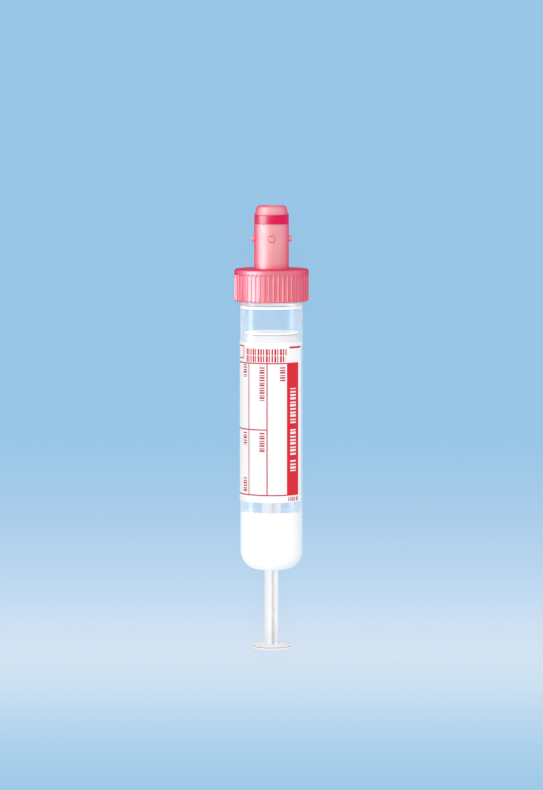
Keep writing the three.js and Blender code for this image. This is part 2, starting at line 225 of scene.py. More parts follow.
def keep_for(lamp, *pieces):
    """Keeps a lamp's light for these pieces. No other piece takes it or stands in its way."""
    linked = bpy.data.collections.new(f"lit_by_{lamp.name}")
    for piece in pieces:
        linked.objects.link(piece)
    lamp.light_linking.receiver_collection = linked
    lamp.light_linking.blocker_collection = linked


# name, turn, tilt, distance, width, length and radiance
soft_box("overhead", 5, 0, 1.3, 0.8, 0.8, 0.5)
soft_box("left", -80, 0, 0.6, 0.2, 0.6, 1.2)
soft_box("right", 80, 0, 0.6, 0.18, 0.6, 0.6)
soft_box("cap_end", 0, 28, 0.7, 0.6, 0.3, 3.0)
soft_box("foot_end", 0, -50, 0.7, 0.5, 0.3, 2.0)
cap_shine = soft_box("cap_shine", -61, 12, 0.5, 0.42, 0.6, 135.0, only_glossy=True, gel=(0.65, 1, 0.78))
ring_shine = soft_box("ring_shine", -61, 12, 0.5, 0.42, 0.6, 78.0, only_glossy=True, gel=(0.6, 1, 1))
barrel_shine = soft_box("barrel_shine", -83, 0, 0.6, 0.14, 0.6, 20.0, only_glossy=True)
barrel_light = soft_box("barrel_light", -30, 0, 0.8, 1.0, 0.6, 1.0)
seal_light = soft_box("seal_light", 0, 68, 0.5, 0.3, 0.2, 10.0, gel=(0.85, 1, 0.95))

scene.view_settings.view_transform = "Standard"
scene.cycles.transparent_max_bounces = 32  # a ray meets many see-through skins along the tube

# %% [markdown]
# ## The table
#
# A plain sheet of pale blue card, with a painted pool of light under the rod's end. Its colour and
# that painted light are a ramp along X, so they stay put when the camera moves. Part of what the
# camera and the reflections see of it is even, as on a lit studio sheet, and the rest takes the
# tube's soft shadow. The
# light that it throws back is white, as if a white sheet lay round the tube, so white plastic
# stays white on its underside too.

# %% Colours and materials
def linear(code, alpha=1.0):
    """The scene-linear colour of a hexadecimal sRGB code."""
    values = [int(code[place:place + 2], 16) / 255 for place in (1, 3, 5)]
    return (*(v / 12.92 if v <= 0.04045 else ((v + 0.055) / 1.055) ** 2.4 for v in values), alpha)


def new_material(name):
    """An empty material, its tree and its output socket."""
    material = bpy.data.materials.new(name)
    material.use_nodes = True
    tree = material.node_tree
    tree.nodes.clear()
    return material, tree, add_node(tree, "ShaderNodeOutputMaterial").inputs["Surface"]


def layered(tree, below, above, share):
    """A mix of two shaders, with share of the second."""
    mix = add_node(tree, "ShaderNodeMixShader")
    join(tree, share, mix.inputs[0])
    join(tree, below, mix.inputs[1])
    join(tree, above, mix.inputs[2])
    return mix.outputs[0]


def blended(tree, share, first_color, second_color):
    """A colour between two."""
    mix = add_node(tree, "ShaderNodeMix", data_type="RGBA")
    join(tree, share, mix.inputs[0])
    join(tree, first_color, mix.inputs[6])
    join(tree, second_color, mix.inputs[7])
    return mix.outputs[2]


# %% The card's colour
EVEN_SHARE = 0.92  # the part of the card's look that no lamp or shadow changes
BOUNCE = "#eef1f4"  # the card's colour as other pieces see it
# The card's colour along X, paler where a pool of light is painted under the rod's end.
CARD_AND_LIGHT_POOL = (  # metres along X, and the card's colour there
    (-0.096, "#99c6e7"),
    (-0.081, "#abd0eb"),
    (-0.073, "#bad7ef"),
    (-0.065, "#cbe1f1"),
    (-0.057, "#d3e3f3"),
    (-0.050, "#cedff1"),
    (-0.043, "#c2dbf2"),
    (-0.034, "#b6d4ee"),
    (-0.020, "#a7cbe9"),
    (-0.004, "#99c6e7"),
)

card, tree, surface = new_material("blue_card")
place = add_node(tree, "ShaderNodeTexCoord").outputs["Object"]
along = add_node(tree, "ShaderNodeSeparateXYZ")
join(tree, place, along.inputs[0])
first, last = CARD_AND_LIGHT_POOL[0][0], CARD_AND_LIGHT_POOL[-1][0]
share = calculate(tree, "DIVIDE", calculate(tree, "SUBTRACT", along.outputs[0], first), last - first)
ramp = add_node(tree, "ShaderNodeValToRGB")
join(tree, share, ramp.inputs[0])
stops = ramp.color_ramp.elements
while len(stops) < len(CARD_AND_LIGHT_POOL):
    stops.new(0.5)
for stop, (where, code) in zip(stops, CARD_AND_LIGHT_POOL):
    stop.position = (where - first) / (last - first)
    stop.color = linear(code)
even = add_node(tree, "ShaderNodeEmission")
join(tree, ramp.outputs[0], even.inputs["Color"])
rays = add_node(tree, "ShaderNodeLightPath")
matt = add_node(tree, "ShaderNodeBsdfDiffuse")
join(tree, blended(tree, rays.outputs["Is Diffuse Ray"], ramp.outputs[0], linear(BOUNCE)),
     matt.inputs["Color"])
seen = calculate(tree, "ADD", rays.outputs["Is Camera Ray"], rays.outputs["Is Glossy Ray"])
join(tree, layered(tree, matt.outputs[0], even.outputs[0], calculate(tree, "MULTIPLY", seen, EVEN_SHARE)),
     surface)

# %% Table
TABLE_HALF_WIDTH = 6.0

table_mesh = bpy.data.meshes.new("table")
reach = TABLE_HALF_WIDTH
table_mesh.from_pydata(
    [(-reach, -reach, 0), (reach, -reach, 0), (reach, reach, 0), (-reach, reach, 0)],
    [], [(0, 1, 2, 3)],
)
table = bpy.data.objects.new("table", table_mesh)
table.data.materials.append(card)
scene.collection.objects.link(table)
print("table:", 2 * TABLE_HALF_WIDTH, "m square")

# %% [markdown]
# ## Turning a section
#
# Nearly every piece here is round, as moulded plastic often is. It is drawn as half of its
# section, with a radius at each corner as a mould maker rounds it, and turned about the axis.
# Blender's Screw modifier could do that, but a short function also closes the poles and can
# space its columns where ribs need them.

# %% Outlines
ROUND_STEPS = 5


def rounded(corners, steps=ROUND_STEPS):
    """The points of a closed outline. A corner is (x, y) or, where it is rounded, (x, y, radius)."""
    points = []
    for index, corner in enumerate(corners):
        here = Vector(corner[:2])
        radius = corner[2] if len(corner) > 2 else 0
        if not radius:
            points.append(here)
            continue
        before = (Vector(corners[index - 1][:2]) - here).normalized()
        after = (Vector(corners[(index + 1) % len(corners)][:2]) - here).normalized()
        half = before.angle(after) / 2
        centre = here + (before + after).normalized() * (radius / math.sin(half))
        start = here + before * (radius / math.tan(half)) - centre
        turn = start.angle_signed(here + after * (radius / math.tan(half)) - centre)
        for step in range(steps + 1):
            points.append(centre + Matrix.Rotation(-turn * step / steps, 2) @ start)
    return points


def quarter(centre_x, centre_y, radius_x, radius_y, start, end, steps=12):
    """Corners along an ellipse, between two angles in degrees."""
    angles = [math.radians(start + (end - start) * step / steps) for step in range(steps + 1)]
    return [(centre_x + radius_x * math.cos(a), centre_y + radius_y * math.sin(a)) for a in angles]


def ladder(radius, foot, top, step):
    """Corners straight up a wall, close enough together for a thread to be raised on it."""
    count = math.ceil(abs(top - foot) / step)
    return [(radius, foot + (top - foot) * rung / count) for rung in range(count + 1)]


# %% Turned meshes
COLUMNS = 160
WELD = 1e-5  # millimetres between points that become one


def mesh_object(name, points, faces):
    """A mesh object whose faces point outwards."""
    mesh = bpy.data.meshes.new(name)
    mesh.from_pydata(points, [], faces)
    shape = bmesh.new()
    shape.from_mesh(mesh)
    bmesh.ops.remove_doubles(shape, verts=shape.verts, dist=WELD)
    bmesh.ops.dissolve_degenerate(shape, edges=shape.edges, dist=WELD)
    bmesh.ops.recalc_face_normals(shape, faces=shape.faces)
    shape.to_mesh(mesh)
    shape.free()
    made = bpy.data.objects.new(name, mesh)
    scene.collection.objects.link(made)
    return made


def turned(name, outline, turns=None):
    """Turns a closed outline of (radius, height) about the axis. turns are the columns' angles."""
    turns = turns or [2 * math.pi * column / COLUMNS for column in range(COLUMNS)]
    count, size = len(turns), len(outline)
    points = [
        (r * math.cos(turn), r * math.sin(turn), height)
        for turn in turns for r, height in ((max(point[0], 0), point[1]) for point in outline)
    ]
    faces = [
        (
            column * size + row,
            (column + 1) % count * size + row,
            (column + 1) % count * size + (row + 1) % size,
            column * size + (row + 1) % size,
        )
        for column in range(count) for row in range(size)
        if max(outline[row][0], outline[(row + 1) % size][0]) > 0
    ]
    return mesh_object(name, points, faces)


# %% [markdown]
# ## Finishing a mesh
#
# Three jobs are the same for every piece. Joined bodies are made one with a Boolean modifier,
# which leaves no hidden walls inside clear plastic. A UV map unrolls the piece round its axis,
# in millimetres, so that a pattern can follow its height. At last the mesh is laid down where
# the CAD model has it and takes over from the CAD node.

# %% Joining, unrolling and laying down
SHARP_ANGLE = math.radians(50)


def bake(piece):
    """Replaces a piece's mesh by what its modifiers make of it."""
    graph = bpy.context.evaluated_depsgraph_get()
    mesh = bpy.data.meshes.new_from_object(piece.evaluated_get(graph), depsgraph=graph)
    piece.modifiers.clear()
    piece.data = mesh
    return piece


def combine(piece, other, operation):
    """Joins another closed body to the piece, or cuts it away, and deletes that body."""
    modifier = piece.modifiers.new(operation, "BOOLEAN")
    modifier.object = other
    modifier.operation = operation
    modifier.solver = "MANIFOLD"
    bake(piece)
    bpy.data.objects.remove(other)
    return piece


def unroll(piece):
    """A UV map round the axis: degrees from the label's middle, and millimetres of height."""
    mesh = piece.data
    layer = mesh.uv_layers.new(name="unrolled")
    for polygon in mesh.polygons:
        middle = math.degrees(math.atan2(polygon.center.x, -polygon.center.y))
        for corner in polygon.loop_indices:
            point = mesh.vertices[mesh.loops[corner].vertex_index].co
            turn = math.degrees(math.atan2(point.x, -point.y)) if point.xy.length > 1e-3 else middle
            turn += 360 * round((middle - turn) / 360)
            layer.data[corner].uv = (turn, point.z)


def hand_over(piece, node, body, material, sharp=SHARP_ANGLE):
    """Finishes a piece: shading, UV map, material, place, body, and the node it stands for."""
    unroll(piece)
    piece.data.shade_smooth()
    piece.data.set_sharp_from_angle(angle=sharp)
    piece.data.transform(lay_down)
    piece.data.materials.clear()
    piece.data.materials.append(material)
    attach(piece, body)
    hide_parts(node)
    print(f"{piece.name}: {len(piece.data.polygons)} faces on body {body}")


# %% [markdown]
# ## Patterns that follow a rule
#
# The collar's ribs and the screw threads repeat by a rule, so Geometry Nodes make them. Each
# tree moves the points of a smooth turned wall in or out by a sum of angle and height. Ribs
# cut from solid bars would need dozens of Booleans; moving the wall keeps one clean skin, and
# every size stays an input that can be changed.

# %% A Geometry Nodes tree and its inputs
def new_tree(name, **sizes):
    """A tree with a geometry input and output, and one input of its own for each size."""
    tree = bpy.data.node_groups.new(name, "GeometryNodeTree")
    tree.interface.new_socket("Geometry", in_out="INPUT", socket_type="NodeSocketGeometry")
    tree.interface.new_socket("Geometry", in_out="OUTPUT", socket_type="NodeSocketGeometry")
    for label, kind in sizes.items():
        tree.interface.new_socket(label, in_out="INPUT", socket_type=f"NodeSocket{kind}")
    return tree, add_node(tree, "NodeGroupInput").outputs


def close_tree(tree, geometry, material):
    """Ends a tree in Realize Instances and Set Material."""
    realized = add_node(tree, "GeometryNodeRealizeInstances")
    painted = add_node(tree, "GeometryNodeSetMaterial")
    join(tree, geometry, realized.inputs[0])
    join(tree, realized.outputs[0], painted.inputs["Geometry"])
    join(tree, material, painted.inputs["Material"])
    join(tree, painted.outputs[0], add_node(tree, "NodeGroupOutput").inputs[0])


def run_tree(piece, tree, **values):
    """Runs a tree on a piece with these sizes, and keeps the result as its mesh."""
    modifier = piece.modifiers.new(tree.name, "NODES")
    modifier.node_group = tree
    for item in tree.interface.items_tree:
        if item.in_out == "INPUT" and item.name in values:
            modifier[item.identifier] = values[item.name]
    return bake(piece)


def polar(tree):
    """Sockets with each point's angle round the axis, its radius and its height."""
    split = add_node(tree, "ShaderNodeSeparateXYZ")
    join(tree, add_node(tree, "GeometryNodeInputPosition").outputs[0], split.inputs[0])
    x, y, height = split.outputs
    radius = calculate(tree, "SQRT", calculate(
        tree, "ADD", calculate(tree, "MULTIPLY", x, x), calculate(tree, "MULTIPLY", y, y)))
    return calculate(tree, "ARCTAN2", y, x), radius, height


def move_walls(tree, geometry, radius, wanted):
    """Moves each point straight in or out to the wanted radius."""
    factor = calculate(tree, "DIVIDE", wanted, calculate(tree, "MAXIMUM", radius, 1e-3))
    stretch = add_node(tree, "ShaderNodeCombineXYZ")
    join(tree, factor, stretch.inputs[0])
    join(tree, factor, stretch.inputs[1])
    join(tree, 1.0, stretch.inputs[2])
    moved = add_node(tree, "ShaderNodeVectorMath", operation="MULTIPLY")
    join(tree, add_node(tree, "GeometryNodeInputPosition").outputs[0], moved.inputs[0])
    join(tree, stretch.outputs[0], moved.inputs[1])
    placed = add_node(tree, "GeometryNodeSetPosition")
    join(tree, geometry, placed.inputs["Geometry"])
    join(tree, moved.outputs[0], placed.inputs["Position"])
    return placed.outputs[0]


# %% [markdown]
# The ribs' rule: between two ribs the wall may reach only to the groove's floor. The groove
# runs out softly below the collar's plain top band.

# %% The tree for ribs
rib_tree, given = new_tree(
    "ribs", Count="Float", Radius="Float", Depth="Float", Crest="Float", Root="Float",
    Top="Float", Material="Material",
)
angle, radius, height = polar(rib_tree)
pitches = calculate(rib_tree, "DIVIDE", calculate(rib_tree, "MULTIPLY", angle, given["Count"]), math.tau)
off_middle = calculate(rib_tree, "ABSOLUTE", calculate(
    rib_tree, "SUBTRACT", calculate(rib_tree, "FRACT", pitches), 0.5))
pitch = calculate(rib_tree, "DIVIDE", calculate(
    rib_tree, "MULTIPLY", given["Radius"], math.tau), given["Count"])
sideways = calculate(rib_tree, "MULTIPLY", off_middle, pitch)
groove = soft_step(
    rib_tree, sideways,
    calculate(rib_tree, "DIVIDE", given["Crest"], 2), calculate(rib_tree, "DIVIDE", given["Root"], 2),
)
below_top = soft_step(
    rib_tree, height, calculate(rib_tree, "SUBTRACT", given["Top"], given["Depth"]), given["Top"], 1, 0)
cut = calculate(rib_tree, "MULTIPLY", given["Depth"], calculate(rib_tree, "MULTIPLY", groove, below_top))
limit = calculate(rib_tree, "SUBTRACT", given["Radius"], cut)
wanted = calculate(rib_tree, "MINIMUM", radius, limit)
close_tree(rib_tree, move_walls(rib_tree, given["Geometry"], radius, wanted), given["Material"])

# %% [markdown]
# The thread's rule: a ridge climbs one lead in a turn. A point's distance from the nearest
# ridge is what is left of its height after the turns it has made, and the ridge is raised
# where that distance is small. Both ends of the ridge fade into the wall.

# %% The tree for screw threads
thread_tree, given = new_tree(
    "thread", Wall="Float", Height="Float", Lead="Float", Starts="Float", Foot="Float",
    Turns="Float", Crest="Float", Root="Float", Fade="Float", Material="Material",
)
angle, radius, height = polar(thread_tree)
made_turns = calculate(thread_tree, "DIVIDE", calculate(
    thread_tree, "SUBTRACT", height, given["Foot"]), given["Lead"])
phase = calculate(thread_tree, "SUBTRACT", made_turns, calculate(thread_tree, "DIVIDE", angle, math.tau))
steps_off = calculate(thread_tree, "MULTIPLY", phase, given["Starts"])
nearest = calculate(thread_tree, "SUBTRACT", steps_off, calculate(thread_tree, "ROUND", steps_off))
off_turns = calculate(thread_tree, "DIVIDE", nearest, given["Starts"])
off_height = calculate(thread_tree, "MULTIPLY", calculate(
    thread_tree, "ABSOLUTE", off_turns), given["Lead"])
ridge = soft_step(
    thread_tree, off_height,
    calculate(thread_tree, "DIVIDE", given["Crest"], 2),
    calculate(thread_tree, "DIVIDE", given["Root"], 2), 1, 0,
)
along_ridge = calculate(thread_tree, "SUBTRACT", made_turns, off_turns)
started = soft_step(thread_tree, along_ridge, 0, given["Fade"])
ended = soft_step(
    thread_tree, along_ridge, calculate(thread_tree, "SUBTRACT", given["Turns"], given["Fade"]),
    given["Turns"], 1, 0)
on_wall = calculate(thread_tree, "LESS_THAN", calculate(
    thread_tree, "ABSOLUTE", calculate(thread_tree, "SUBTRACT", radius, given["Wall"])), 1e-3)
raised = calculate(thread_tree, "MULTIPLY", calculate(thread_tree, "MULTIPLY", ridge, on_wall),
                   calculate(thread_tree, "MULTIPLY", started, ended))
wanted = calculate(thread_tree, "ADD", radius, calculate(
    thread_tree, "MULTIPLY", raised, given["Height"]))
close_tree(thread_tree, move_walls(thread_tree, given["Geometry"], radius, wanted), given["Material"])

# %% [markdown]
# The lugs' rule: copies of one peg at equal turns about the axis.

# %% The tree for copies round the axis
copies_tree, given = new_tree("copies_round_axis", Count="Int", Material="Material")
spots = add_node(copies_tree, "GeometryNodePoints")
join(copies_tree, given["Count"], spots.inputs["Count"])
step = calculate(copies_tree, "DIVIDE", math.tau, given["Count"])
turn = calculate(copies_tree, "MULTIPLY", add_node(copies_tree, "GeometryNodeInputIndex").outputs[0], step)
facing = add_node(copies_tree, "ShaderNodeCombineXYZ")
join(copies_tree, turn, facing.inputs[2])
copies = add_node(copies_tree, "GeometryNodeInstanceOnPoints")
join(copies_tree, spots.outputs[0], copies.inputs["Points"])
join(copies_tree, given["Geometry"], copies.inputs["Instance"])
join(copies_tree, facing.outputs[0], copies.inputs["Rotation"])
close_tree(copies_tree, copies.outputs[0], given["Material"])
print("trees:", [tree.name for tree in bpy.data.node_groups])

# %% [markdown]
# ## Clear plastic
#
# The barrel is clear styrene. Real refraction through thin walls costs many samples and shows
# little more than a faint tint. So the material lets light straight through, adds a little
# milkiness that grows where the wall is seen edge on, and mirrors more at a flat angle, by
# Schlick's rule. That rule is the same from both sides of a wall, as it is for a thin pane.
#
# A wall has two skins, and both would mirror and cloud. An attribute marks the outer skin, and
# the inner one stays nearly clear.

# %% Shaders and patterns
def principled(tree, color, roughness, **sockets):
    """A Principled shader. Sockets are named with _ for a space."""
    shader = add_node(tree, "ShaderNodeBsdfPrincipled")
    join(tree, color, shader.inputs["Base Color"])
    join(tree, roughness, shader.inputs["Roughness"])
    for name, value in sockets.items():
        join(tree, value, shader.inputs[name.replace("_", " ")])
    return shader


def noise(tree, scale, detail=2.0):
    """Noise on Object coordinates, which are metres here, so the scale is per metre."""
    node = add_node(tree, "ShaderNodeTexNoise")
    join(tree, add_node(tree, "ShaderNodeTexCoord").outputs["Object"], node.inputs["Vector"])
    node.inputs["Scale"].default_value = scale
    node.inputs["Detail"].default_value = detail
    return node.outputs["Fac"]


def bump(tree, height, strength, distance):
    """A normal from a height, whose distance is in metres."""
    node = add_node(tree, "ShaderNodeBump")
    join(tree, height, node.inputs["Height"])
    node.inputs["Strength"].default_value = strength
    node.inputs["Distance"].default_value = distance
    return node.outputs[0]


def unrolled(tree):
    """Sockets with the degrees round the axis and the millimetres of height."""
    split = add_node(tree, "ShaderNodeSeparateXYZ")
    join(tree, add_node(tree, "ShaderNodeUVMap", uv_map="unrolled").outputs[0], split.inputs[0])
    return split.outputs[0], split.outputs[1]


# %% Skins
OUTWARD = 0.3  # how squarely an outer skin faces away from the axis


def mark_outside(piece, core_foot):
    """Writes 1 on the outer skin of a hollow turned piece and 0 on its inner one.

    The outer skin faces away from the nearest point of the axis above core_foot.
    """
    marks = piece.data.attributes.new("outside", "FLOAT", "POINT")
    for vertex, mark in zip(piece.data.vertices, marks.data):
        away = vertex.co - Vector((0, 0, max(vertex.co.z, core_foot)))
        mark.value = 1.0 if away.normalized().dot(vertex.normal) > OUTWARD else 0.0


def lit_through(tree, wall, through, share):
    """A wall that lets this share of the lamps' light reach what is behind it unweakened."""
    rays = add_node(tree, "ShaderNodeLightPath")
    light = calculate(tree, "MAXIMUM", rays.outputs["Is Shadow Ray"], rays.outputs["Is Diffuse Ray"])
    return layered(tree, wall, through, calculate(tree, "MULTIPLY", light, share))


# %% A see-through plastic
# The white of the painted highlight along the neck's step, and of the milky round end.
HIGHLIGHT_AND_MILK_WHITE = "#fcfdfe"
HEAD_ON_MIRROR = 0.022  # real plastic mirrors 0.05 head on, which would veil the piston here


def see_through(name, tint, milk, milky, edge_milk, roughness, lets_light_in, step_highlight_and_end_milk=None):
    """A clear or milky plastic. milky is its milkiness face on, and edge_milk is added edge on.

    milky is a value, or a function that makes a socket for it in the tree.
    """
    material, tree, surface = new_material(name)
    through = add_node(tree, "ShaderNodeBsdfTransparent")
    through.inputs["Color"].default_value = linear(tint)
    gloss = add_node(tree, "ShaderNodeBsdfGlossy")
    gloss.inputs["Roughness"].default_value = roughness
    join(tree, bump(tree, noise(tree, 220), 0.1, 0.00002), gloss.inputs["Normal"])
    facing = add_node(tree, "ShaderNodeLayerWeight")
    facing.inputs["Blend"].default_value = 0.5
    edge_on = facing.outputs["Facing"]
    outside = add_node(tree, "ShaderNodeAttribute", attribute_name="outside").outputs["Fac"]
    mirror = calculate(tree, "MULTIPLY_ADD", calculate(tree, "POWER", edge_on, 5.0),
                       1 - HEAD_ON_MIRROR, HEAD_ON_MIRROR)
    clear = layered(tree, through.outputs[0], gloss.outputs[0],
                    calculate(tree, "MULTIPLY", mirror, outside))
    cloud = soft_step(tree, noise(tree, 90), 0.3, 0.7, 0.9, 1.1)
    if callable(milky):
        milky = milky(tree)
    share = calculate(tree, "MULTIPLY_ADD", calculate(tree, "POWER", edge_on, 2.0), edge_milk,
                      calculate(tree, "MULTIPLY", cloud, milky))
    color = linear(milk)
    # Painted white where the wall looks white: a painted highlight along the neck's step, and milk in the
    # round end.
    if step_highlight_and_end_milk:
        highlight_and_milk = step_highlight_and_end_milk(tree)
        share = calculate(tree, "MAXIMUM", share, highlight_and_milk)
        color = blended(tree, highlight_and_milk, color, linear(HIGHLIGHT_AND_MILK_WHITE))
    share = calculate(tree, "MULTIPLY", share, outside)
    body = principled(tree, color, 0.4)
    wall = layered(tree, clear, body.outputs[0], share)
    join(tree, lit_through(tree, wall, through.outputs[0], lets_light_in), surface)
    return material


# %% Where a pattern lies
UNDERSIDE_STARTS = 95.0  # degrees from the label's middle
UNDERSIDE_FULL = 135.0


def stripe(tree, value, low, high, blur=0.05):
    """1 where value lies between low and high, with soft edges."""
    rise = soft_step(tree, value, low - blur, low + blur)
    fall = soft_step(tree, value, high - blur, high + blur, 1, 0)
    return calculate(tree, "MULTIPLY", rise, fall)


def upper_side(tree, above, below):
    """A value on the side that faces up, going over to another on the underside."""
    turn = calculate(tree, "ABSOLUTE", unrolled(tree)[0])
    turn = calculate(tree, "MINIMUM", turn, calculate(tree, "SUBTRACT", 360.0, turn))
    return soft_step(tree, turn, UNDERSIDE_STARTS, UNDERSIDE_FULL, above, below)


# %% The barrel's plastic
NECK_LENGTH = 7.45
NECK_STEP = 0.25
# The painted highlight along the step under the neck; the pair below is its foot and top.
STEP_HIGHLIGHT = (0.85, 0.25)  # its foot and top, below the neck
END_FROST = (0.85, 0.3)  # in the round end, above and below

neck_foot = tube_rim - NECK_LENGTH


def paint_step_highlight_and_end_milk(tree):
    """Where the barrel's own wall is painted white: a painted highlight along the step under the neck,
    which stands in for the light that the step bends like a lens, and milk in the round end, where
    the milky guide lies against it. There the underside stays clearer, so that it doesn't show
    through the window under the label."""
    height = unrolled(tree)[1]
    # A painted highlight along the step under the neck, for the light that the step bends.
    step = stripe(tree, height, neck_foot - STEP_HIGHLIGHT[0], neck_foot - STEP_HIGHLIGHT[1], 0.06)
    low = stripe(tree, height, tube_foot - 1, guide_top - 0.1, 0.12)
    low = calculate(tree, "MULTIPLY", low, upper_side(tree, *END_FROST))
    return calculate(tree, "MAXIMUM", step, low)


clear_plastic = see_through(
    "clear_plastic", tint="#fefeff", milk="#e8f7ff", milky=0.12, edge_milk=0.8, roughness=0.25,
    lets_light_in=1.0, step_highlight_and_end_milk=paint_step_highlight_and_end_milk)
print("neck from", round(neck_foot, 2), "to", round(tube_rim, 2), "mm")

# %% [markdown]
# ## The barrel
#
# One clear moulding: a round end with a hole for the rod, a straight barrel, and a slightly
# slimmer neck whose two ridges are the screw thread. It is turned from its section, and the
# thread is raised on the neck's wall.

# %% Thread sizes
THREAD_LEAD = 3.0
THREAD_STARTS = 2
THREAD_TURNS = 1.1
THREAD_ROOT = 0.7
THREAD_CREST = 0.35
THREAD_HEIGHT = 0.4
THREAD_CLEARANCE = 0.15
THREAD_RIM_MARGIN = 1.1
THREAD_FADE = 0.1

thread_foot = tube_rim - THREAD_RIM_MARGIN - THREAD_TURNS * THREAD_LEAD - THREAD_ROOT / 2
thread_sizes = {
    "Lead": THREAD_LEAD, "Starts": float(THREAD_STARTS), "Turns": THREAD_TURNS,
    "Crest": THREAD_CREST, "Root": THREAD_ROOT, "Fade": THREAD_FADE,
}
print("thread from", round(thread_foot, 2), "mm, rising", THREAD_LEAD, "mm in a turn")

# %% Barrel
WALL = 0.8
END_RISE = 4.9
END_FLAT = 0.5  # round the rod's hole
THREAD_RUNG = 0.09  # between the points of a wall that carries a thread

hole_radius = min(
    (stand_up @ vertex.co).xy.length for vertex in frame["nodes"]["tube"].data.vertices)
flat_radius = hole_radius + END_FLAT
bore_radius = barrel_radius - WALL
neck_radius = barrel_radius - NECK_STEP

barrel = turned("barrel", rounded([
    (hole_radius, 0, 0.1),
    *quarter(flat_radius, END_RISE, barrel_radius - flat_radius, END_RISE, -90, 0, 20),
    (barrel_radius, neck_foot - NECK_STEP, 0.12),
    (neck_radius, neck_foot, 0.12),
    *ladder(neck_radius, neck_foot + 0.4, tube_rim - 0.4, THREAD_RUNG),
    (neck_radius, tube_rim, 0.2),
    (bore_radius, tube_rim, 0.15),
    *quarter(flat_radius, END_RISE, bore_radius - flat_radius, END_RISE - WALL, 0, -90, 20),
    (hole_radius, WALL, 0.1),
]))
run_tree(barrel, thread_tree, Wall=neck_radius, Height=THREAD_HEIGHT, Foot=thread_foot,
         Material=clear_plastic, **thread_sizes)
mark_outside(barrel, END_RISE)
hand_over(barrel, "tube", "barrel", clear_plastic)
keep_for(barrel_shine, barrel)
keep_for(barrel_light, barrel)

# %% [markdown]
# ## The guide in the round end
#
# A milky cup lines the round end. In its middle stands a sleeve with a cross-shaped keyway,
# through which the rod runs. The keyway is the one form in it that isn't round, so a body of its
# shape is lofted and cut away with a Boolean.

# %% The cross of the rod and its keyway
VANE_THICKNESS = 1.15
VANE_TURN = math.radians(26)  # from the label's middle
END_HOLE_CLEARANCE = 0.4

vane_reach = hole_radius - END_HOLE_CLEARANCE


def cross_outline(reach, thickness, rounding, fillet):
    """The rounded outline of four vanes, from above. It has as many points for any reach."""
    half = thickness / 2
    corners = []
    for vane in range(4):
        turn = Matrix.Rotation(-(VANE_TURN + vane * math.pi / 2), 2)
        for x, y, radius in ((reach, -half, rounding), (reach, half, rounding), (half, half, fillet)):
            corners.append((*(turn @ Vector((x, y))), radius))
    return rounded(corners, 3)


def lofted(name, sections):
    """A closed body through sections of (height, outline), which have as many points each."""
    size = len(sections[0][1])
    points = [(x, y, height) for height, outline in sections for x, y in outline]
    faces = [
        (row * size + i, row * size + (i + 1) % size,
         (row + 1) * size + (i + 1) % size, (row + 1) * size + i)
        for row in range(len(sections) - 1) for i in range(size)
    ]
    faces.append(tuple(reversed(range(size))))
    faces.append(tuple(range(len(points) - size, len(points))))
    return mesh_object(name, points, faces)


# %% Guide
KEYWAY_CLEARANCE = 0.25
KEYWAY_ROUND = 0.1
SLEEVE_WALL = 1.35
SLEEVE_TOP = 7.4
GUIDE_WALL = 0.8
BEYOND = 1.0  # how far a cutting body runs past what it cuts

milky_plastic = see_through(
    "milky_plastic", tint="#f8fbff", milk="#fdfefe", milky=lambda tree: upper_side(tree, 0.75, 0.4),
    edge_milk=0.25, roughness=0.2, lets_light_in=0.9)

sleeve_radius = vane_reach + KEYWAY_CLEARANCE + SLEEVE_WALL
inside = guide_radius - GUIDE_WALL
guide = turned("guide", rounded([
    (0, guide_foot),
    *quarter(flat_radius, END_RISE, guide_radius - flat_radius, END_RISE - guide_foot, -90, 0),
    (guide_radius, guide_top, 0.2),
    (inside, guide_top, 0.2),
    *quarter(sleeve_radius, END_RISE, inside - sleeve_radius, END_RISE - guide_foot - GUIDE_WALL, 0, -90),
    (sleeve_radius, SLEEVE_TOP, 0.3),
    (0, SLEEVE_TOP),
]))
key_outline = cross_outline(
    vane_reach + KEYWAY_CLEARANCE, VANE_THICKNESS + 2 * KEYWAY_CLEARANCE, KEYWAY_ROUND, KEYWAY_ROUND)
keyway = lofted("keyway", [(guide_foot - BEYOND, key_outline), (SLEEVE_TOP + BEYOND, key_outline)])
combine(guide, keyway, "DIFFERENCE")
mark_outside(guide, END_RISE)
hand_over(guide, "base_guide", "barrel", milky_plastic)

# %% [markdown]
# ## The screw cap
#
# Collar, needle stem, lugs and sealing skirt are one pink moulding. Its section is turned with
# columns that crowd on the ribs' flanks. Then the ribs are cut, the inside thread is raised, a
# shallow groove is cut round each lug's place and the four lugs are joined on.
#
# The plastic lets some light in, which makes it glow where it is thin. Subsurface scattering
# gives that, with red light going furthest. The stem is paler than the collar: its wall is thin
# and holds less dye, and its paler colour is also a painted glow for the light that this thin
# wall lets through. Its polish is less sharp. Seen edge on, light crosses more of the dye and the
# outline turns deeper; a pink coat of very low index does that, and adds hardly any shine.

# %% A glossy plastic
def glossy_plastic(name, color, roughness, grain=900, grain_depth=0.000004, **sockets):
    """An opaque moulded plastic, with a fine grain in its gloss.

    color and roughness are values, or functions that make a socket for them in the tree.
    """
    material, tree, surface = new_material(name)
    shade = color(tree) if callable(color) else linear(color)
    mottle = noise(tree, grain)
    wear = soft_step(tree, noise(tree, 160), 0.25, 0.75, 0.85, 1.2)
    if callable(roughness):
        roughness = roughness(tree)
    shader = principled(tree, shade, calculate(tree, "MULTIPLY", wear, roughness), **sockets)
    join(tree, bump(tree, mottle, 0.35, grain_depth), shader.inputs["Normal"])
    join(tree, shader.outputs[0], surface)
    return material


# %% Pink plastic
PALER_FROM = -0.2  # millimetres above the collar's top
PALER_TO = 1.5


